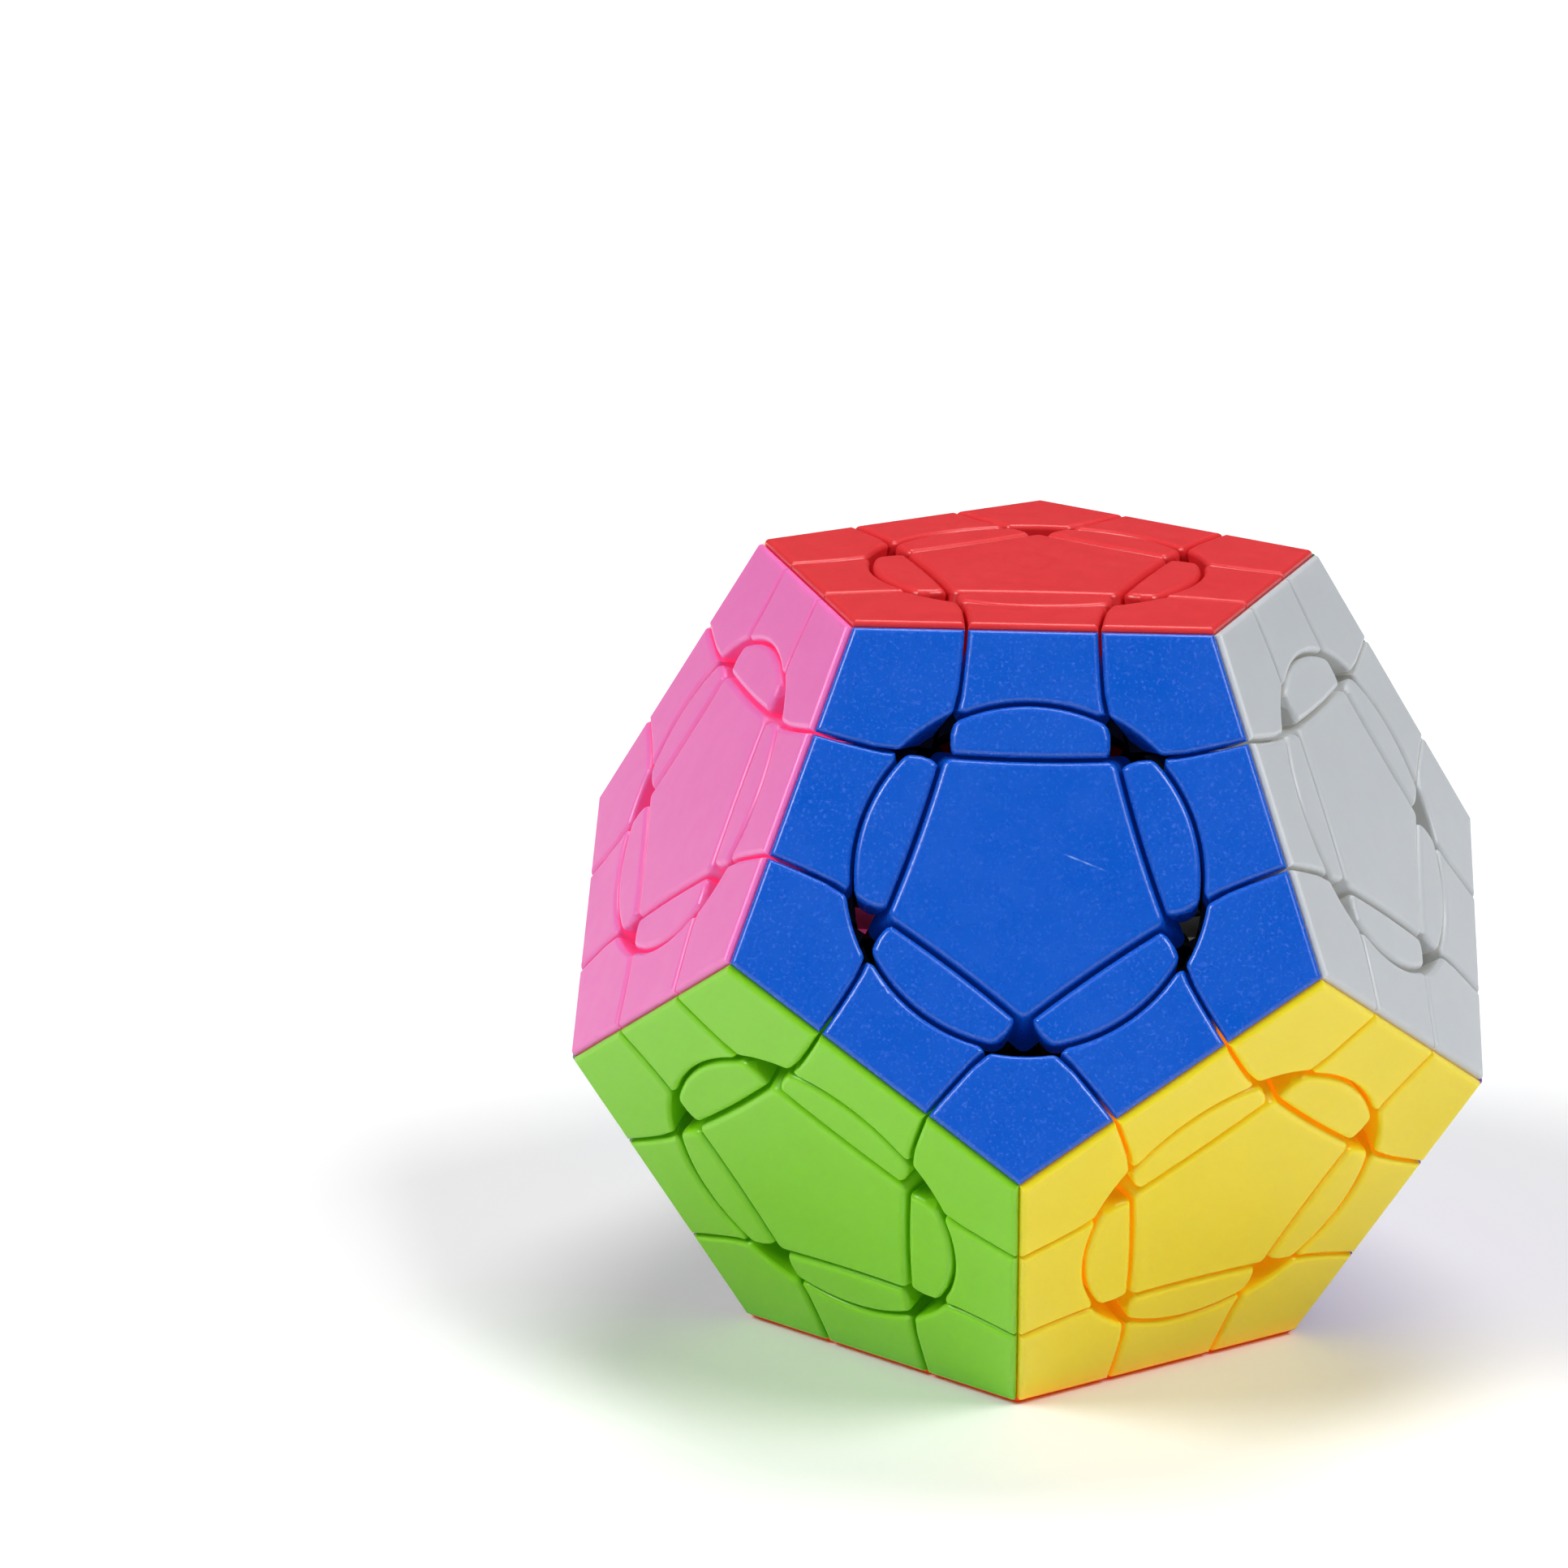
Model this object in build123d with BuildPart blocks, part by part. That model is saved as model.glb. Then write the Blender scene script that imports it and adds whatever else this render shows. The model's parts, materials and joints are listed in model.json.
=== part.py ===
"""Dodecahedron twisty puzzle: twelve coloured faces, each with a still circle of
five petals and a centre, on a screwed and sprung core.

Every sub-part is drawn once, in a face frame: the puzzle's centre at the origin,
+Z out through the face, +X towards the middle of the face's first edge. Copies
are then placed face by face. Millimetres; the origin is the centre of the
bottom face.
"""

import os
from math import acos, atan, cos, degrees, radians, sin, sqrt, tan

from build123d import *

# Driving dimensions of the outside
EDGE = 33.0
GAP = 0.34
SEAM = 0.06
CIRCLE_RADIUS = 15.6
TIP_CLEARANCE = 0.4
TILE_ROUND = 0.5
RIM_ROUND = 0.6
CORNER_ROUND = 0.8
EDGE_TILE_ROUND = 1.1
EDGE_TILE_LENGTH = 14.2
PETAL_ROUND = 1.5
PETAL_LENGTH = 14.3
PETAL_INNER = 10.3
CAP_ROUND = 1.0
TILE_BASE = 31.0
PETAL_BASE = 30.75
CAP_BASE = 30.0

# Stock that tiles and feet are cut from: larger than the piece on every side
CORNER_STOCK_WIDTH = 18.0
CORNER_STOCK_LENGTH = 30.0
CORNER_STOCK_PLACE = 22.5
EDGE_STOCK_WIDTH = 14.0
EDGE_STOCK_PLACE = 20.5
FOOT_STOCK_RADIUS = 16.0
FOOT_STOCK_WIDTH = 16.0
FOOT_STOCK_LENGTH = 26.0
FOOT_STOCK_HEIGHT = 22.0

# The cut that a turning layer slides on: two cones about the face's axis
CREST_RADIUS = 30.58
CREST_HEIGHT = 26.18
INNER_RISE = 0.214
OUTER_RISE = 0.513
LAYER_TILT = 42.0
LAYER_FLOOR = 23.5
FAR = 60.0

# Inside: shells at these distances from the centre, where the feet lock
FOOT_BOTTOM = 16.15
FOOT_TOP = 19.25
NECK_TOP = 20.2
COLLAR_TOP = 22.7

# Corner foot: a round stalk in three steps
CORNER_FOOT_RADIUS = 3.2
CORNER_COLLAR_RADIUS = 2.7
CORNER_STALK_RADIUS = 1.6
CORNER_STALK_TOP = 31.0

# Edge foot: a flat stalk, broad at the bottom one way and at the top the other
EDGE_FOOT_LENGTH = 5.0
EDGE_NECK_LENGTH = 2.7
EDGE_FOOT_WIDTH = 4.2
EDGE_STALK_WIDTH = 6.8
EDGE_STALK_TOP = 31.5
EDGE_BODY_BASE = 29.8

# Petal's foot and stalk: walls at these tilts from the face's axis, in degrees
PETAL_SWEEP = 20.0
PETAL_FOOT_INNER = 14.6
PETAL_FOOT_OUTER = 21.3
PETAL_NECK_INNER = 18.5
PETAL_STALK_INNER = 22.6
PETAL_STALK_OUTER = 26.4
PETAL_FOOT_TOP = 19.5
PETAL_NECK_BOTTOM = 20.1
PETAL_NECK_TOP = 22.8
PETAL_STALK_TOP = 34.6

# Centre base: radii and heights of its steps, from the core to the cap
BASE_BOTTOM = 15.9
BASE_BOTTOM_RADIUS = 3.5
BASE_WAIST = 19.45
BASE_WAIST_RADIUS = 4.4
BASE_LEDGE_RADIUS = 5.9
BASE_SHOULDER = 22.3
BASE_NECK_RADIUS = 6.75
BASE_SHOULDER_RADIUS = 8.5
BASE_TOP_RADIUS = 11.4
SPRING_POCKET_RADIUS = 3.2

# Pegs of the feet, in sockets of the tiles
SOCKET_DEPTH = 3.0
SOCKET_RADIUS = 1.15
PEG_RADIUS = 1.1
PEG_HEIGHT = 2.8
CORNER_PEG_REACH = 19.8
EDGE_PEG_REACH = 17.45

# Core, screws and springs
BALL_RADIUS = 9.5
POST_RADIUS = 3.4
POST_TOP = 15.7
SCREW_RADIUS = 1.5
SCREW_BOTTOM = 8.0
SCREW_HEAD_RADIUS = 2.8
SCREW_HEAD_HEIGHT = 1.8
SCREW_HEAD_ROUND = 0.6
SCREW_CLEARANCE = 0.1
RECESS_LENGTH = 2.8
RECESS_WIDTH = 0.7
RECESS_DEPTH = 1.2
SPRING_SEAT = 19.2
SPRING_RADIUS = 2.3
SPRING_WIRE = 0.35
SPRING_TURNS = 6
SPRING_TOP = 26.8
WASHER_THICKNESS = 0.5

# Dodecahedron
INRADIUS = EDGE / 2 * sqrt((25 + 11 * sqrt(5)) / 10)
APOTHEM = EDGE / (2 * tan(radians(36)))
PENTAGON_RADIUS = EDGE / (2 * sin(radians(36)))
FACE_STEP = degrees(acos(1 / sqrt(5)))
EDGE_TILT = degrees(atan(APOTHEM / INRADIUS))
VERTEX_TILT = degrees(atan(PENTAGON_RADIUS / INRADIUS))
TIP_RADIUS = CIRCLE_RADIUS + GAP / 2 + TIP_CLEARANCE
TINY = 0.01


def direction(tilt, turn):
    """Unit vector tilted from +Z towards the azimuth turn, in degrees."""
    side = sin(radians(tilt))
    return Vector(
        side * cos(radians(turn)),
        side * sin(radians(turn)),
        cos(radians(tilt)),
    )


def polar(radius, tilt):
    """Point of a half-plane profile at a distance and a tilt from the axis."""
    return (radius * sin(radians(tilt)), radius * cos(radians(tilt)))


def neighbour(k):
    """Axis direction of the k-th face around the face being drawn."""
    return direction(FACE_STEP, 72 * k)


def layer_space(clearance, k=None):
    """Space swept by a turning layer, shrunk by the clearance, about its axis."""
    join = CREST_HEIGHT - INNER_RISE * CREST_RADIUS
    join /= 1 / tan(radians(LAYER_TILT)) - INNER_RISE
    profile = (
        (0, FAR),
        (0, LAYER_FLOOR),
        (LAYER_FLOOR * tan(radians(LAYER_TILT)), LAYER_FLOOR),
        (join, join / tan(radians(LAYER_TILT))),
        (CREST_RADIUS, CREST_HEIGHT),
        (FAR, CREST_HEIGHT + OUTER_RISE * (FAR - CREST_RADIUS)),
        (FAR, FAR),
    )
    with BuildPart(mode=Mode.PRIVATE) as space:
        with BuildSketch(Plane.XZ):
            with BuildLine():
                Polyline(*profile, close=True)
            make_face()
        revolve(axis=Axis.Z)
    axis = Vector(0, 0, 1) if k is None else neighbour(k)
    return space.part.moved(Plane(origin=axis * clearance, z_dir=axis).location)


def seam_plane(k):
    """Plane through the k-th edge and the centre, half a seam inside this face."""
    normal = (Vector(0, 0, 1) - neighbour(k)).normalized()
    return Plane(origin=normal * SEAM / 2, z_dir=normal)


def face_plane(height, k=None):
    """Plane across a face's axis at a height, on this face or a neighbour."""
    axis = Vector(0, 0, 1) if k is None else neighbour(k)
    return Plane(origin=axis * height, z_dir=axis)


def peg_plane(ray, reach, k=None):
    """Plane on a face's tile base, centred on the peg of the piece along a ray."""
    axis = Vector(0, 0, 1) if k is None else neighbour(k)
    side = (ray - axis * ray.dot(axis)).normalized()
    return Plane(origin=axis * TILE_BASE + side * reach, z_dir=axis)


def top_edges(tile):
    """All edges around the top of a tile."""
    return tile.edges().filter_by_position(Axis.Z, INRADIUS - TINY, INRADIUS + TINY)


def upright_edges(tile):
    """Edges between two walls that run down from the corners of a tile's top."""
    return tile.edges().filter_by(GeomType.BSPLINE).filter_by(runs_down)


def runs_down(edge):
    """Whether an edge goes down from a tile's top, inside the circle's groove."""
    ends = sorted((edge @ 0, edge @ 1), key=lambda end: end.Z)
    reach = sqrt(ends[1].X ** 2 + ends[1].Y ** 2)
    from_top = ends[1].Z > INRADIUS - TINY
    below_rim = ends[0].Z < INRADIUS - 2 * CORNER_ROUND
    return from_top and below_rim and reach < TIP_RADIUS + CORNER_ROUND


def radial_plane(distance, tilt, turn):
    """Plane across a ray from the centre, its x towards this face's axis."""
    ray = direction(tilt, turn)
    return Plane(origin=ray * distance, x_dir=direction(tilt - 90, turn), z_dir=ray)


# Corner tile: one of the three coloured shells of a corner, at the first vertex
CORNER_TURN = 36
corner_ray = direction(VERTEX_TILT, CORNER_TURN)
with BuildPart() as corner_tile:
    with BuildSketch(Plane.XY.offset(TILE_BASE)):
        with PolarLocations(CORNER_STOCK_PLACE, 1, CORNER_TURN):
            Rectangle(CORNER_STOCK_WIDTH, CORNER_STOCK_LENGTH)
        Circle(TIP_RADIUS, mode=Mode.SUBTRACT)
    extrude(amount=INRADIUS - TILE_BASE)
    for k in (0, 1):
        add(layer_space(GAP / 2, k), mode=Mode.INTERSECT)
    for k in (0, 1):
        split(bisect_by=seam_plane(k), keep=Keep.TOP)
    with BuildSketch(peg_plane(corner_ray, CORNER_PEG_REACH)):
        Circle(SOCKET_RADIUS)
    extrude(amount=SOCKET_DEPTH, mode=Mode.SUBTRACT)
    fillet(upright_edges(corner_tile), radius=CORNER_ROUND)
    fillet(top_edges(corner_tile), radius=TILE_ROUND)

# Edge tile: one of the two coloured shells of an edge piece, at the first edge
edge_ray = direction(EDGE_TILT, 0)
with BuildPart() as edge_tile:
    with BuildSketch(Plane.XY.offset(TILE_BASE)) as outline:
        with Locations((EDGE_STOCK_PLACE, 0)):
            Rectangle(EDGE_STOCK_WIDTH, EDGE_TILE_LENGTH)
        Circle(CIRCLE_RADIUS + GAP / 2, mode=Mode.SUBTRACT)
        fillet(outline.vertices().group_by(Axis.X)[0], radius=EDGE_TILE_ROUND)
    extrude(amount=INRADIUS - TILE_BASE)
    for k in (1, 4):
        add(layer_space(-GAP / 2, k), mode=Mode.SUBTRACT)
    split(bisect_by=seam_plane(0), keep=Keep.TOP)
    with BuildSketch(peg_plane(edge_ray, EDGE_PEG_REACH)):
        Circle(SOCKET_RADIUS)
    extrude(amount=SOCKET_DEPTH, mode=Mode.SUBTRACT)
    fillet(top_edges(edge_tile), radius=TILE_ROUND)

# Petal: tile, stalk and foot in one piece, beside the first edge
petal_profile = (
    polar(FOOT_BOTTOM, PETAL_FOOT_INNER),
    polar(PETAL_FOOT_TOP, PETAL_FOOT_INNER),
    polar(PETAL_FOOT_TOP, PETAL_NECK_INNER),
    polar(PETAL_NECK_TOP, PETAL_NECK_INNER),
    polar(PETAL_NECK_TOP, PETAL_STALK_INNER),
    polar(PETAL_STALK_TOP, PETAL_STALK_INNER),
    polar(PETAL_STALK_TOP, PETAL_STALK_OUTER),
    polar(PETAL_NECK_BOTTOM, PETAL_STALK_OUTER),
    polar(PETAL_NECK_BOTTOM, PETAL_FOOT_OUTER),
    polar(FOOT_BOTTOM, PETAL_FOOT_OUTER),
)
with BuildPart() as petal:
    with BuildSketch(Plane.XY.offset(PETAL_BASE)) as outline:
        Circle(CIRCLE_RADIUS - GAP / 2)
        with Locations((PETAL_INNER, 0)):
            Rectangle(
                CIRCLE_RADIUS,
                PETAL_LENGTH,
                align=(Align.MIN, Align.CENTER),
                mode=Mode.INTERSECT,
            )
        fillet(outline.vertices(), radius=PETAL_ROUND)
    extrude(amount=INRADIUS - PETAL_BASE)
    add(layer_space(GAP / 2, 0), mode=Mode.INTERSECT)
    for k in (1, 4):
        add(layer_space(-GAP / 2, k), mode=Mode.SUBTRACT)
    fillet(top_edges(petal), radius=RIM_ROUND)
    with BuildSketch(Plane.XZ.rotated((0, 0, -PETAL_SWEEP / 2))):
        with BuildLine():
            Polyline(*petal_profile, close=True)
        make_face()
    revolve(axis=Axis.Z, revolution_arc=PETAL_SWEEP)

# Centre cap: the coloured pentagon inside the circle
with BuildPart() as centre_cap:
    with BuildSketch(Plane.XY.offset(CAP_BASE)):
        Circle(CIRCLE_RADIUS - GAP / 2)
    extrude(amount=INRADIUS - CAP_BASE)
    for k in range(5):
        add(layer_space(-GAP / 2, k), mode=Mode.SUBTRACT)
    fillet(upright_edges(centre_cap), radius=CAP_ROUND)
    fillet(top_edges(centre_cap), radius=RIM_ROUND)

# Centre base: the dark stem that the cap snaps on, bored for screw and spring
base_profile = (
    (SCREW_RADIUS + SCREW_CLEARANCE, BASE_BOTTOM),
    (BASE_BOTTOM_RADIUS, BASE_BOTTOM),
    (BASE_WAIST_RADIUS, BASE_WAIST),
    (BASE_LEDGE_RADIUS, BASE_WAIST),
    (BASE_NECK_RADIUS, BASE_SHOULDER),
    (BASE_SHOULDER_RADIUS, BASE_SHOULDER),
    (BASE_TOP_RADIUS, CAP_BASE),
    (SPRING_POCKET_RADIUS, CAP_BASE),
    (SPRING_POCKET_RADIUS, SPRING_SEAT),
    (SCREW_RADIUS + SCREW_CLEARANCE, SPRING_SEAT),
)
with BuildPart() as centre_base:
    with BuildSketch(Plane.XZ):
        with BuildLine():
            Polyline(*base_profile, close=True)
        make_face()
    revolve(axis=Axis.Z)

# Corner foot: carries three tiles, its stepped stalk locked under its neighbours
corner_steps = (
    (CORNER_FOOT_RADIUS, FOOT_BOTTOM, FOOT_TOP),
    (CORNER_COLLAR_RADIUS, FOOT_TOP, COLLAR_TOP),
    (CORNER_STALK_RADIUS, COLLAR_TOP, CORNER_STALK_TOP),
)
with BuildPart() as corner_foot:
    with BuildSketch(radial_plane(LAYER_FLOOR, VERTEX_TILT, CORNER_TURN)):
        Circle(FOOT_STOCK_RADIUS)
    extrude(amount=FOOT_STOCK_HEIGHT)
    for k in (None, 0, 1):
        add(layer_space(GAP / 2, k), mode=Mode.INTERSECT)
    for k in (None, 0, 1):
        split(bisect_by=face_plane(TILE_BASE, k), keep=Keep.BOTTOM)
    for radius, bottom, top in corner_steps:
        with BuildSketch(radial_plane(bottom, VERTEX_TILT, CORNER_TURN)):
            Circle(radius)
        extrude(amount=top - bottom)
    for k in (None, 0, 1):
        with BuildSketch(peg_plane(corner_ray, CORNER_PEG_REACH, k)):
            Circle(PEG_RADIUS)
        extrude(amount=PEG_HEIGHT)

# Edge foot: carries two tiles, its foot spread under the petals on both sides
edge_steps = (
    (EDGE_FOOT_LENGTH, EDGE_FOOT_WIDTH, FOOT_BOTTOM, FOOT_TOP),
    (EDGE_NECK_LENGTH, EDGE_FOOT_WIDTH, FOOT_TOP, NECK_TOP),
    (EDGE_NECK_LENGTH, EDGE_STALK_WIDTH, NECK_TOP, EDGE_STALK_TOP),
)
with BuildPart() as edge_foot:
    with BuildSketch(radial_plane(EDGE_BODY_BASE, EDGE_TILT, 0)):
        Rectangle(FOOT_STOCK_WIDTH, FOOT_STOCK_LENGTH)
    extrude(amount=FOOT_STOCK_HEIGHT)
    for k in (None, 0):
        add(layer_space(GAP / 2, k), mode=Mode.INTERSECT)
    for k in (1, 4):
        add(layer_space(-GAP / 2, k), mode=Mode.SUBTRACT)
    for k in (None, 0):
        with BuildSketch(face_plane(LAYER_FLOOR, k)):
            Circle(CIRCLE_RADIUS + GAP / 2)
        extrude(amount=FOOT_STOCK_HEIGHT, mode=Mode.SUBTRACT)
        split(bisect_by=face_plane(TILE_BASE, k), keep=Keep.BOTTOM)
    for length, width, bottom, top in edge_steps:
        with BuildSketch(radial_plane(bottom, EDGE_TILT, 0)):
            Rectangle(length, width)
        extrude(amount=top - bottom)
    for k in (None, 0):
        with BuildSketch(peg_plane(edge_ray, EDGE_PEG_REACH, k)):
            Circle(PEG_RADIUS)
        extrude(amount=PEG_HEIGHT)

# Screw: shank and round head, with a cross recess for the driver
with BuildPart() as screw:
    with BuildSketch(Plane.XY.offset(SCREW_BOTTOM)):
        Circle(SCREW_RADIUS)
    extrude(amount=SPRING_TOP + WASHER_THICKNESS - SCREW_BOTTOM)
    with BuildSketch(Plane.XY.offset(SPRING_TOP + WASHER_THICKNESS)):
        Circle(SCREW_HEAD_RADIUS)
    extrude(amount=SCREW_HEAD_HEIGHT)
    fillet(screw.edges().sort_by(Axis.Z)[-1], radius=SCREW_HEAD_ROUND)
    with BuildSketch(Plane.XY.offset(SPRING_TOP + WASHER_THICKNESS + SCREW_HEAD_HEIGHT)):
        Rectangle(RECESS_LENGTH, RECESS_WIDTH)
        Rectangle(RECESS_WIDTH, RECESS_LENGTH)
    extrude(amount=-RECESS_DEPTH, mode=Mode.SUBTRACT)

# Washer: between the screw's head and the spring
with BuildPart() as washer:
    with BuildSketch(Plane.XY.offset(SPRING_TOP)):
        Circle(SCREW_HEAD_RADIUS)
        Circle(SCREW_RADIUS, mode=Mode.SUBTRACT)
    extrude(amount=WASHER_THICKNESS)

# Spring: presses the centre base against the core
spring_height = SPRING_TOP - SPRING_SEAT - 2 * SPRING_WIRE
with BuildPart() as spring:
    with BuildLine(Plane.XY.offset(SPRING_SEAT + SPRING_WIRE)) as coil:
        Helix(spring_height / SPRING_TURNS, spring_height, SPRING_RADIUS)
    with BuildSketch(Plane(origin=coil.line @ 0, z_dir=coil.line % 0)):
        Circle(SPRING_WIRE)
    sweep(path=coil.line, is_frenet=True)

# Face axes: red on top, orange below, two rings of five between them
centre = Vector(0, 0, INRADIUS)
face_axes = {
    "red": direction(0, 0),
    "blue": direction(FACE_STEP, -90),
    "white": direction(FACE_STEP, -18),
    "dark_green": direction(FACE_STEP, 54),
    "cream": direction(FACE_STEP, 126),
    "pink": direction(FACE_STEP, 198),
    "yellow": direction(180 - FACE_STEP, -54),
    "purple": direction(180 - FACE_STEP, 18),
    "sky_blue": direction(180 - FACE_STEP, 90),
    "grey": direction(180 - FACE_STEP, 162),
    "lime": direction(180 - FACE_STEP, 234),
    "orange": direction(180, 0),
}
LAYERS = ("pink", "white", "orange")
SPLIT_FACES = ("blue", "red", "lime", "yellow")
faces = list(face_axes)


def turn_about(axis, start, end):
    """Turn in degrees, from 0 to 360, that takes start to end about an axis."""
    start = start - axis * start.dot(axis)
    end = end - axis * end.dot(axis)
    turn = start.get_angle(end)
    if axis.dot(start.cross(end)) < -TINY:
        turn = 360 - turn
    return turn


def faces_around(face):
    """The five faces next to a face, counter-clockwise seen from outside."""
    axis = face_axes[face]
    near = [other for other in faces if 1 < axis.get_angle(face_axes[other]) < 90]
    first = face_axes[near[0]]
    return sorted(near, key=lambda other: turn_about(axis, first, face_axes[other]))


def place(face, other):
    """Place of a piece drawn at the first edge, at the edge with another face."""
    axis = face_axes[face]
    side = face_axes[other] - axis * axis.dot(face_axes[other])
    return Plane(origin=centre, x_dir=side, z_dir=axis).location


def owner(*touching):
    """The turning layer that a piece on these faces belongs to, or the core."""
    for layer in LAYERS:
        if layer in touching:
            return layer
    return "core"


# Places of every copy, grouped by the layer that carries it
corner_tiles, edge_tiles, petals = {}, {}, {}
corner_feet, edge_feet = {}, {}
for face in faces:
    ring = faces_around(face)
    for k, other in enumerate(ring):
        third = ring[(k + 1) % 5]
        here = place(face, other)
        corner_tiles.setdefault((owner(face, other, third), face), []).append(here)
        edge_tiles.setdefault((owner(face, other), face), []).append(here)
        petals.setdefault((owner(other), face), []).append(here)
        if faces.index(face) < min(faces.index(other), faces.index(third)):
            corner_feet.setdefault(owner(face, other, third), []).append(here)
        if faces.index(face) < faces.index(other):
            edge_feet.setdefault(owner(face, other), []).append(here)
face_places = [place(face, faces_around(face)[0]) for face in faces]


def write_node(name, *groups):
    """Write one node: copies of each master at its places."""
    with BuildPart() as node:
        for master, places in groups:
            with Locations(*places):
                add(master.part)
    node.part.label = name
    export_step(node.part, f"parts/{name}.step")


os.makedirs("parts", exist_ok=True)

with BuildPart() as core:
    with Locations(centre):
        Sphere(BALL_RADIUS)
    for axis in face_axes.values():
        with BuildSketch(Plane(origin=centre, z_dir=axis)):
            Circle(POST_RADIUS)
        extrude(amount=POST_TOP)
    for axis in face_axes.values():
        with BuildSketch(Plane(origin=centre + axis * SCREW_BOTTOM, z_dir=axis)):
            Circle(SCREW_RADIUS)
        extrude(amount=POST_TOP, mode=Mode.SUBTRACT)
core.part.label = "core"
export_step(core.part, "parts/core.step")

write_node("centre_bases", (centre_base, face_places))
write_node("screws", (screw, face_places))
write_node("washers", (washer, face_places))
write_node("springs", (spring, face_places))
for face, here in zip(faces, face_places):
    write_node(f"{face}_centre_cap", (centre_cap, [here]))

write_node("corner_feet", (corner_foot, corner_feet["core"]))
write_node("edge_feet", (edge_foot, edge_feet["core"]))
for layer in LAYERS:
    write_node(f"{layer}_layer_corner_feet", (corner_foot, corner_feet[layer]))
    write_node(f"{layer}_layer_edge_feet", (edge_foot, edge_feet[layer]))

# Coloured pieces that stay with the core, face by face
for face in faces:
    still_petals = (petal, petals["core", face])
    if face in LAYERS:
        write_node(f"{face}_petals", still_petals)
        continue
    rim = (corner_tile, corner_tiles["core", face])
    sides = (edge_tile, edge_tiles["core", face])
    if face in SPLIT_FACES:
        write_node(f"{face}_rim_tiles", rim, sides)
        write_node(f"{face}_petals", still_petals)
    else:
        write_node(f"{face}_tiles", rim, sides, still_petals)

# Coloured pieces that turn with a layer: its own rim, then each face around it
for layer in LAYERS:
    rim = (corner_tile, corner_tiles[layer, layer])
    sides = (edge_tile, edge_tiles[layer, layer])
    write_node(f"{layer}_layer_rim_tiles", rim, sides)
    for face in faces_around(layer):
        write_node(
            f"{layer}_layer_{face}_tiles",
            (corner_tile, corner_tiles[layer, face]),
            (edge_tile, edge_tiles[layer, face]),
            (petal, petals[layer, face]),
        )
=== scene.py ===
"""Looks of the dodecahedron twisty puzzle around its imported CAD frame.

The CAD nodes keep their shapes; each gets a moulded-plastic or steel material.
Metres, in the CAD frame.
"""

import json
import math

import bpy
from mathutils import Matrix, Vector


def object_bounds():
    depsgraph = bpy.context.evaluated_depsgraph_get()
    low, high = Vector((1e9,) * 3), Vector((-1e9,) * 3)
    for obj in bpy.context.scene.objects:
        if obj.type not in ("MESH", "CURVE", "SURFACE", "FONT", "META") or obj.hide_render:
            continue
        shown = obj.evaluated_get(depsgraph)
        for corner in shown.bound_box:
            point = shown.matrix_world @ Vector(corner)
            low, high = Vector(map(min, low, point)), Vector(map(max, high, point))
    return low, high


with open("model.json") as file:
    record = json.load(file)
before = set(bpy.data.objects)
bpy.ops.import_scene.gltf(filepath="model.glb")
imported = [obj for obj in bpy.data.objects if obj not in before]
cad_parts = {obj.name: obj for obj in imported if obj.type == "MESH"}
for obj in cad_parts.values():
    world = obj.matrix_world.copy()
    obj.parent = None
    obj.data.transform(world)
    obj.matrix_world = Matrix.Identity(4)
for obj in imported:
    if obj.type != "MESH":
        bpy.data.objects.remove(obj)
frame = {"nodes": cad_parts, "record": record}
cad_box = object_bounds()
low, high = (Vector(corner) for corner in cad_box)
size = high - low
centre = (low + high) / 2

# Camera: where it stands, in degrees, and where it aims beside the puzzle's centre.
# Distance and aim are in heights of the puzzle.
VIEW_AZIMUTH = 3.509
VIEW_ELEVATION = 16.409
VIEW_ROLL = -0.336
VIEW_DISTANCE = 6.4016
AIM_RIGHT = -0.32072
AIM_DOWN = -0.19908
LENS_MM = 112.2
SENSOR_MM = 36.0
NEAREST = 0.01

# Of each distant light: azimuth, elevation and breadth in degrees, and strength
LIGHTS = {
    "front_left": (-62, 44, 24, 2.0),
    "front_right": (62, 50, 24, 1.8),
    "behind": (165, 72, 30, 1.4),
}
SURROUND_STRENGTH = 0.06

# Floor: reach in widths of the puzzle, its two shades and its surface
FLOOR_REACH = 40
FLOOR_DARK = (0.86, 0.86, 0.86)
FLOOR_LIGHT = (0.88, 0.88, 0.88)
FLOOR_ROUGHNESS = 0.9
FLOOR_SHINE = 0.1

# Of each plastic, linear: its colour, the deeper colour painted into its gaps as painted shade
# and painted emission, and how strongly that painted emission shines
PLASTICS = {
    "red": ((0.680, 0.030, 0.036), (0.560, 0.004, 0.008), 0.08),
    "white": ((0.500, 0.530, 0.560), (0.560, 0.560, 0.530), 0.14),
    "dark_green": ((0.008, 0.180, 0.050), (0.003, 0.090, 0.020), 0.05),
    "cream": ((0.820, 0.720, 0.440), (0.900, 0.600, 0.250), 0.20),
    "pink": ((0.800, 0.165, 0.480), (1.000, 0.090, 0.350), 0.22),
    "yellow": ((0.860, 0.690, 0.004), (0.960, 0.460, 0.004), 0.20),
    "purple": ((0.160, 0.040, 0.360), (0.100, 0.015, 0.250), 0.05),
    "sky_blue": ((0.080, 0.420, 0.720), (0.030, 0.280, 0.650), 0.12),
    "grey": ((0.200, 0.210, 0.220), (0.130, 0.135, 0.140), 0.05),
    "lime": ((0.215, 0.600, 0.004), (0.090, 0.430, 0.002), 0.12),
    "orange": ((0.850, 0.120, 0.010), (0.850, 0.040, 0.002), 0.25),
}
# The blue and the black, in the same order: colour, painted gap colour, strength of the
# painted emission.
BLUE = ((0.0, 0.092, 0.550), (0.0, 0.034, 0.320), 0.16)
BLACK = ((0.012, 0.014, 0.012), (0.012, 0.014, 0.012), 0.0)

# Of a plastic's surface: roughness, how bright its painted glints are (tiny highlights painted
# into its colour), and how strong its grain
SMOOTH = (0.32, 0.0, 0.04)
BLACK_MATT = (0.40, 0.0, 0.04)
BLUE_GRAINED = (0.27, 0.045, 0.14)
BLUE_WORN = (0.27, 0.03, 0.10)
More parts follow.
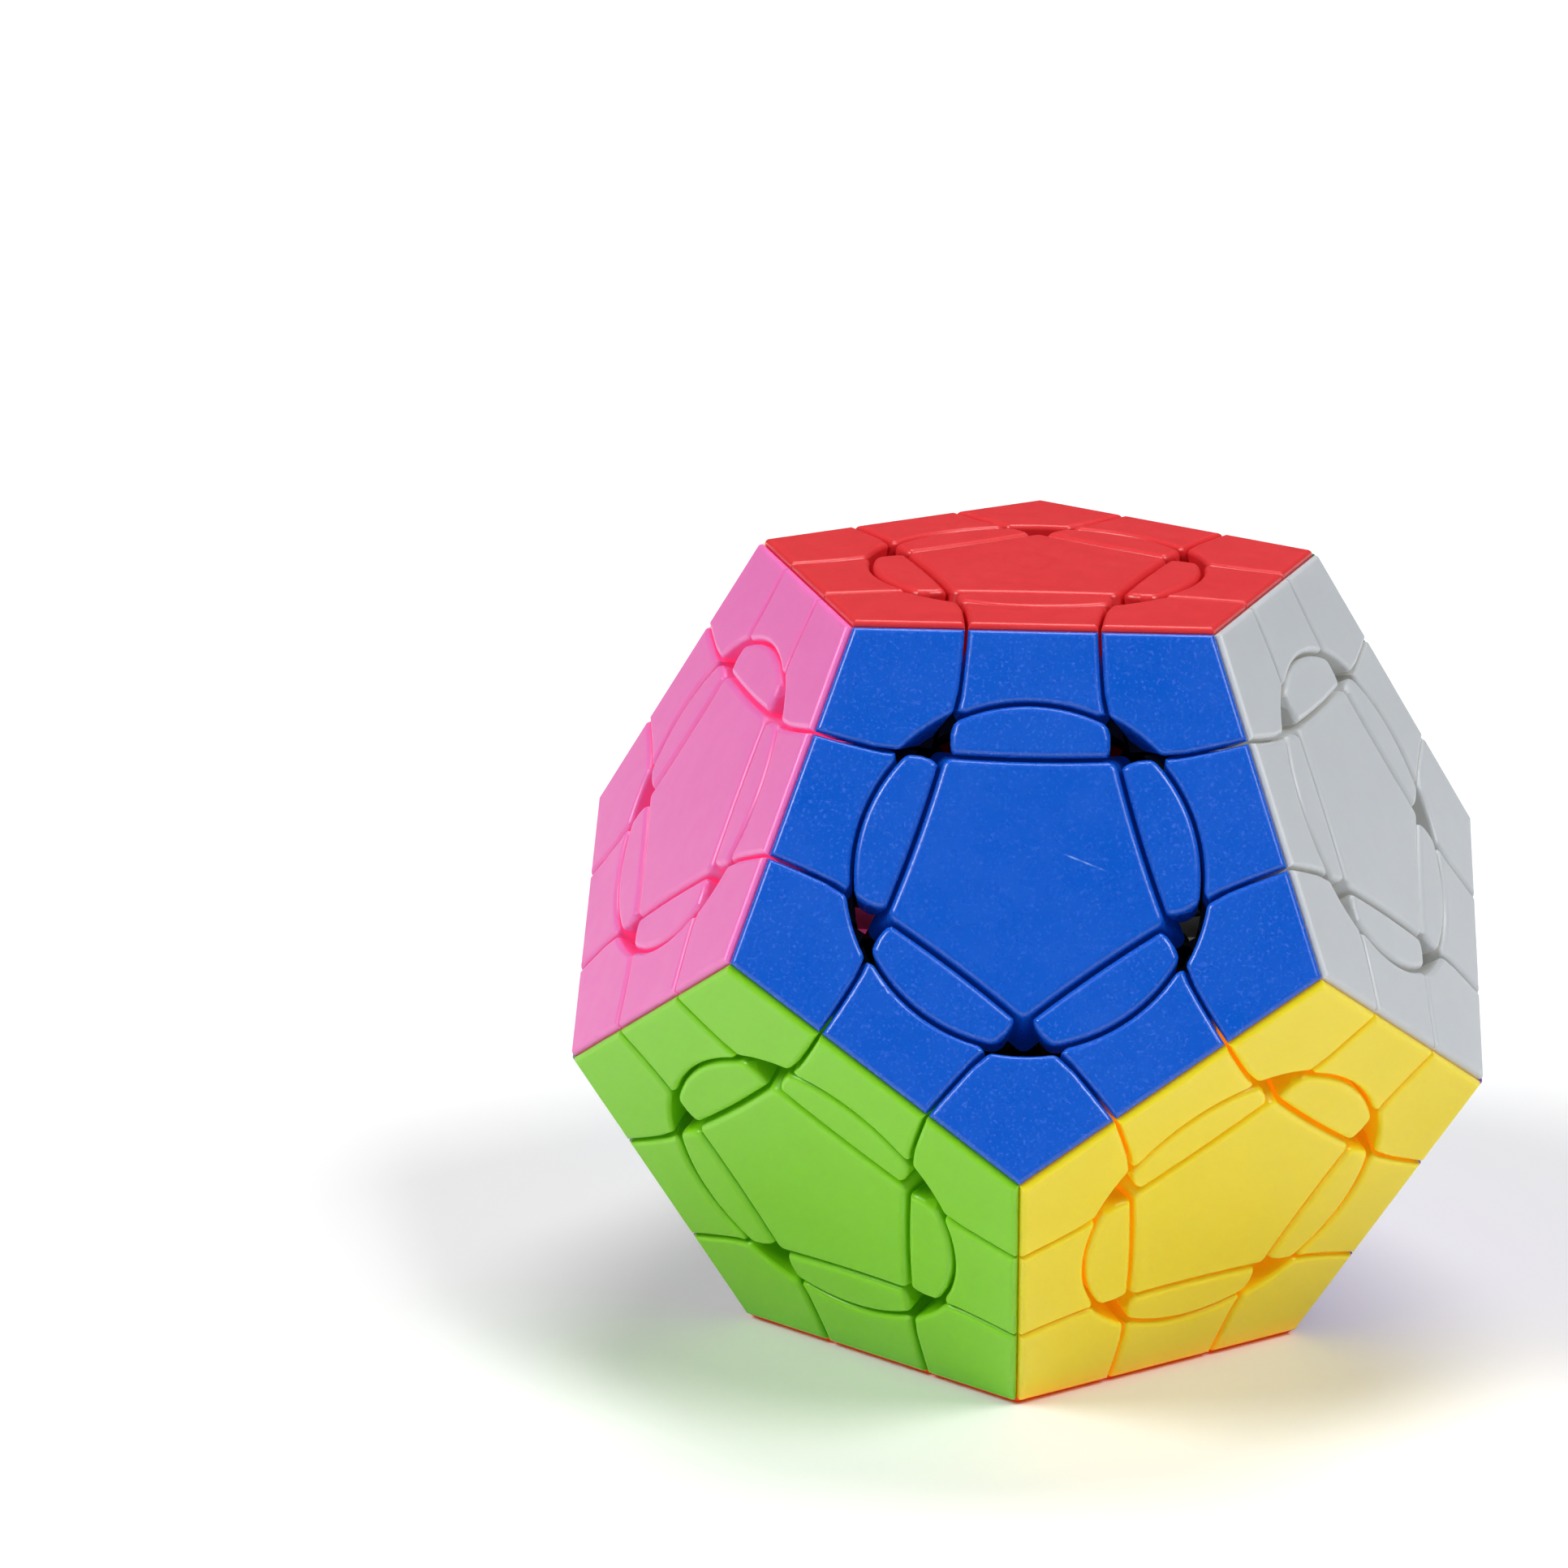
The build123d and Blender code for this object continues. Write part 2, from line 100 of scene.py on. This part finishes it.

# How every plastic varies: strength of its painted glints, tone of its clouds, and its
# roughness
PAINTED_GLINT_BOOST = 3
CLOUD_DARKENING = 0.025
CLOUD_LIGHTENING = 0.006
POLISH_BELOW = 0.04
POLISH_ABOVE = 0.05

# Surface patterns: cells per metre, the part of a noise that shows, and bump heights
CLOUD_CELLS = 110
# The spark cells and span below size the painted glints, tiny highlights painted into the
# colour.
PAINTED_GLINT_CELLS = 3600
POLISH_CELLS = 420
GRAIN_CELLS = 2600
SCRATCH_CELLS = 900
STEEL_CELLS = 1500
FLOOR_CELLS = 3
NOISE_SPAN = (0.3, 0.7)
PAINTED_GLINT_SPAN = (0.56, 0.80)
SCRATCH_SPAN = (0.4, 0.6)
GRAIN_HEIGHT = 0.00005
STEEL_GRAIN_HEIGHT = 0.00002

# Gaps, where the painted gap shade and emission go: how far off a wall closes one, and how
# open its floor and its mouth are
GAP_REACH = 0.005
GAP_SAMPLES = 6
GAP_FLOOR = 0.05
GAP_MOUTH = 0.62

# Light crossing the plastic
PLASTIC_IOR = 1.5
CROSSING_SHARE = 0.4
CROSSING_DEPTH = 0.0015
CROSSING_TINT = (1.0, 0.8, 0.6)

# Steel: its two shades and its surface
STEEL_DARK = (0.50, 0.50, 0.51)
STEEL_LIGHT = (0.66, 0.66, 0.67)
STEEL_ROUGHNESS = (0.25, 0.45)
STEEL_GRAIN = 0.2

# The way the blue face points: half as much up as forward, as on every regular dodecahedron
BLUE_NORMAL = (0, -2, 1)

# Scratch on the blue cap: its ends right of and above the cap's middle, and its width,
# in heights of the puzzle. Its core has full strength, and its cover varies along it.
SCRATCH_START = (0.042, 0.025)
SCRATCH_END = (0.095, 0.007)
SCRATCH_WIDTH = 0.0022
SCRATCH_COLOUR = (0.35, 0.55, 0.85)
SCRATCH_CORE = 0.6
SCRATCH_COVER = (0.1, 0.5)


def new_material(name):
    """A material with its node tree, its main shader and the object's coordinates."""
    material = bpy.data.materials.new(name)
    material.use_nodes = True
    tree = material.node_tree
    coords = tree.nodes.new("ShaderNodeTexCoord").outputs["Object"]
    return material, tree, tree.nodes["Principled BSDF"], coords


def set_inputs(node, **values):
    """Sets inputs of a node; a name with _ stands for a space."""
    for name, value in values.items():
        node.inputs[name.replace("_", " ")].default_value = value


def feed(tree, socket, value):
    """Links an output to an input socket, or sets the input to a plain value."""
    if isinstance(value, bpy.types.NodeSocket):
        tree.links.new(value, socket)
    else:
        socket.default_value = value


def worked_out(tree, kind, operation, *values):
    """A math node of a kind, on sockets or plain values."""
    node = tree.nodes.new(kind)
    node.operation = operation
    for socket, value in zip(node.inputs, values):
        feed(tree, socket, value)
    return node


def times(tree, first, second):
    """Product of two values."""
    return worked_out(tree, "ShaderNodeMath", "MULTIPLY", first, second).outputs["Value"]


def noise(tree, coords, cells, detail=2.0):
    """Noise over the object's coordinates, in cells per metre."""
    node = tree.nodes.new("ShaderNodeTexNoise")
    set_inputs(node, Scale=cells, Detail=detail)
    tree.links.new(coords, node.inputs["Vector"])
    return node.outputs["Fac"]


def spread(tree, value, low_value, high_value, start=0.0, end=1.0):
    """Maps a value from the range start to end onto another range."""
    node = tree.nodes.new("ShaderNodeMapRange")
    tree.links.new(value, node.inputs["Value"])
    set_inputs(node, From_Min=start, From_Max=end, To_Min=low_value, To_Max=high_value)
    return node.outputs["Result"]


def mixed(tree, factor, first, second):
    """A colour between two colours, each a colour value or a socket."""
    mix = tree.nodes.new("ShaderNodeMix")
    mix.data_type = "RGBA"
    tree.links.new(factor, mix.inputs["Factor"])
    for name, colour in (("A", first), ("B", second)):
        plain = isinstance(colour, tuple)
        feed(tree, mix.inputs[name], (*colour, 1) if plain else colour)
    return mix.outputs["Result"]


def lighter(colour, amount):
    """A colour taken part of the way to white."""
    return tuple(value + (1 - value) * amount for value in colour)


def darker(colour, amount):
    """A colour taken part of the way to black."""
    return tuple(value * (1 - amount) for value in colour)


def painted_glint_colour(colour, painted_glint_strength):
    """The colour of the painted glints on a colour: specks painted lighter to stand in for
    tiny highlights.
    """
    return tuple(min(1, value * (1 + PAINTED_GLINT_BOOST * painted_glint_strength) + painted_glint_strength) for value in colour)


def roughen(tree, shader, height, strength, depth):
    """Bumps a surface by a pattern."""
    bump = tree.nodes.new("ShaderNodeBump")
    set_inputs(bump, Strength=strength, Distance=depth)
    tree.links.new(height, bump.inputs["Height"])
    tree.links.new(bump.outputs["Normal"], shader.inputs["Normal"])


def plastic(name, look, finish=SMOOTH):
    """Moulded plastic, coloured right through, with some light crossing it below the surface.
    Its gaps get a painted deeper colour and a painted emission, which stand in for shade and
    for light bounced inside them.
    """
    colour, painted_gap_colour, painted_gap_glow = look
    roughness, painted_glint_strength, grain = finish
    material, tree, shader, coords = new_material(name)

    cloud = spread(tree, noise(tree, coords, CLOUD_CELLS, detail=4.0), 0, 1, *NOISE_SPAN)
    dark, light = darker(colour, CLOUD_DARKENING), lighter(colour, CLOUD_LIGHTENING)
    tone = mixed(tree, cloud, dark, light)
    # Painted glints: specks of lighter colour that stand in for tiny highlights on the grained
    # plastic.
    painted_glints = spread(tree, noise(tree, coords, PAINTED_GLINT_CELLS, detail=1.0), 0, 1, *PAINTED_GLINT_SPAN)
    tone = mixed(tree, painted_glints, tone, painted_glint_colour(colour, painted_glint_strength))

    # Painted gap shade and emission: where the occlusion finds a narrow gap, the colour turns
    # to the deeper gap colour and emits it, standing in for shade and for light bounced inside
    # the plastic.
    gap = tree.nodes.new("ShaderNodeAmbientOcclusion")
    gap.samples = GAP_SAMPLES
    set_inputs(gap, Distance=GAP_REACH)
    painted_gap_mask = spread(tree, gap.outputs["AO"], 1, 0, GAP_FLOOR, GAP_MOUTH)
    tree.links.new(mixed(tree, painted_gap_mask, tone, painted_gap_colour), shader.inputs["Base Color"])
    set_inputs(shader, Emission_Color=(*painted_gap_colour, 1))
    tree.links.new(spread(tree, painted_gap_mask, 0, painted_gap_glow), shader.inputs["Emission Strength"])

    polish = noise(tree, coords, POLISH_CELLS, detail=3.0)
    smoothest, roughest = roughness - POLISH_BELOW, roughness + POLISH_ABOVE
    shine = spread(tree, polish, smoothest, roughest, *NOISE_SPAN)
    tree.links.new(shine, shader.inputs["Roughness"])
    roughen(tree, shader, noise(tree, coords, GRAIN_CELLS, detail=1.0), grain, GRAIN_HEIGHT)
    set_inputs(
        shader,
        IOR=PLASTIC_IOR,
        Subsurface_Weight=CROSSING_SHARE,
        Subsurface_Radius=CROSSING_TINT,
        Subsurface_Scale=CROSSING_DEPTH,
    )
    return material


def steel(name):
    """Zinc-plated steel, finely turned."""
    material, tree, shader, coords = new_material(name)
    set_inputs(shader, Metallic=1.0)
    grain = noise(tree, coords, STEEL_CELLS, detail=3.0)
    tree.links.new(mixed(tree, grain, STEEL_DARK, STEEL_LIGHT), shader.inputs["Base Color"])
    tree.links.new(spread(tree, grain, *STEEL_ROUGHNESS), shader.inputs["Roughness"])
    roughen(tree, shader, grain, STEEL_GRAIN, STEEL_GRAIN_HEIGHT)
    return material


def matt_floor(name):
    """Matt, nearly white studio floor with a trace of tone."""
    material, tree, shader, coords = new_material(name)
    tone = mixed(tree, noise(tree, coords, FLOOR_CELLS), FLOOR_DARK, FLOOR_LIGHT)
    tree.links.new(tone, shader.inputs["Base Color"])
    set_inputs(shader, Roughness=FLOOR_ROUGHNESS, Specular_IOR_Level=FLOOR_SHINE)
    return material


def along(tree, coords, start, axis):
    """Distance of a point from start, measured along an axis."""
    kind = "ShaderNodeVectorMath"
    offset = worked_out(tree, kind, "SUBTRACT", coords, start).outputs["Vector"]
    return worked_out(tree, kind, "DOT_PRODUCT", offset, axis).outputs["Value"]


def between(tree, value, start, end):
    """One where a value lies between two limits, with soft ends, and zero outside."""
    middle, half = (start + end) / 2, (end - start) / 2
    offset = worked_out(tree, "ShaderNodeMath", "SUBTRACT", value, middle).outputs["Value"]
    away = worked_out(tree, "ShaderNodeMath", "ABSOLUTE", offset).outputs["Value"]
    return spread(tree, away, 1, 0, half * SCRATCH_CORE, half)


def scratch(material, start, end, width):
    """Adds a faint broken scratch from start to end to a plastic."""
    tree = material.node_tree
    base = tree.nodes["Principled BSDF"].inputs["Base Color"]
    coords = tree.nodes.new("ShaderNodeTexCoord").outputs["Object"]
    line = end - start
    across = Vector((-line.z, 0, line.x)).normalized()
    inside = between(tree, along(tree, coords, start, line.normalized()), 0, line.length)
    narrow = between(tree, along(tree, coords, start, across), -width / 2, width / 2)
    breaks = noise(tree, coords, SCRATCH_CELLS)
    broken = spread(tree, breaks, *SCRATCH_COVER, *SCRATCH_SPAN)
    mask = times(tree, times(tree, inside, narrow), broken)
    under = base.links[0].from_socket
    tree.links.new(mixed(tree, mask, under, SCRATCH_COLOUR), base)


def paint(node, material):
    """Gives a CAD node one material all over."""
    node.data.materials.clear()
    node.data.materials.append(material)


def paint_nodes():
    """Gives every CAD node the material of its slot in the record."""
    materials = {
        "blue_plastic": plastic("blue_grained_plastic", BLUE, BLUE_GRAINED),
        "black_plastic": plastic("black_plastic", BLACK, BLACK_MATT),
        "steel": steel("zinc_steel"),
    }
    for name, look in PLASTICS.items():
        materials[f"{name}_plastic"] = plastic(f"{name}_plastic", look)
    for part in frame["record"]["subparts"]:
        paint(frame["nodes"][part["node"]], materials[part["material_slot"]])


def by_blue_middle(right, above):
    """A point right of and above the middle of the blue face, in heights of the puzzle."""
    middle = centre + size.z / 2 * Vector(BLUE_NORMAL).normalized()
    return middle + size.z * Vector((right, 0, above))


def wear_blue_cap():
    """Gives the blue cap a worn plastic with a short scratch."""
    worn = plastic("blue_worn_plastic", BLUE, BLUE_WORN)
    start, end = by_blue_middle(*SCRATCH_START), by_blue_middle(*SCRATCH_END)
    scratch(worn, start, end, size.z * SCRATCH_WIDTH)
    paint(frame["nodes"]["blue_centre_cap"], worn)


def add_object(name, data):
    """A new object in the scene."""
    thing = bpy.data.objects.new(name, data)
    bpy.context.scene.collection.objects.link(thing)
    return thing


def add_floor():
    """A large plane under the puzzle."""
    reach = FLOOR_REACH * size.x
    mesh = bpy.data.meshes.new("floor")
    corners = [(-reach, -reach), (reach, -reach), (reach, reach), (-reach, reach)]
    mesh.from_pydata([(x, y, low.z) for x, y in corners], [], [(0, 1, 2, 3)])
    mesh.materials.append(matt_floor("studio_floor"))
    add_object("floor", mesh)


def direction(azimuth, elevation):
    """Unit vector from the puzzle. Azimuth 0 is in front of it, and 90 is at its right."""
    turn, lift = math.radians(azimuth), math.radians(elevation)
    return Vector(
        (math.cos(lift) * math.sin(turn), -math.cos(lift) * math.cos(turn), math.sin(lift))
    )


def add_distant_light(name, azimuth, elevation, breadth, strength):
    """A distant light as broad as its angle."""
    light = bpy.data.lights.new(name, "SUN")
    light.angle = math.radians(breadth)
    light.energy = strength
    lamp = add_object(name, light)
    lamp.rotation_euler = direction(azimuth, elevation).to_track_quat("Z", "Y").to_euler()


def add_world():
    """Even, dim white surroundings, as in a light tent."""
    world = bpy.data.worlds.new("studio")
    world.use_nodes = True
    background = world.node_tree.nodes["Background"]
    set_inputs(background, Color=(1, 1, 1, 1), Strength=SURROUND_STRENGTH)
    bpy.context.scene.world = world


def add_camera():
    """Camera at the measured direction, distance and roll."""
    forward = -direction(VIEW_AZIMUTH, VIEW_ELEVATION)
    right = forward.cross(Vector((0, 0, 1))).normalized()
    up = right.cross(forward)
    tilt = Matrix.Rotation(math.radians(VIEW_ROLL), 3, forward)
    right, up = tilt @ right, tilt @ up
    aim = centre + size.z * (AIM_RIGHT * right - AIM_DOWN * up)
    camera = add_object("camera", bpy.data.cameras.new("camera"))
    camera.data.lens = LENS_MM
    camera.data.sensor_width = SENSOR_MM
    camera.data.clip_start = NEAREST
    axes = Matrix((right, up, -forward)).transposed().to_4x4()
    camera.matrix_world = Matrix.Translation(aim - forward * size.z * VIEW_DISTANCE) @ axes
    bpy.context.scene.camera = camera


paint_nodes()
wear_blue_cap()
add_floor()
add_world()
for light_name, light_values in LIGHTS.items():
    add_distant_light(light_name, *light_values)
add_camera()
bpy.context.scene.view_settings.view_transform = "Standard"
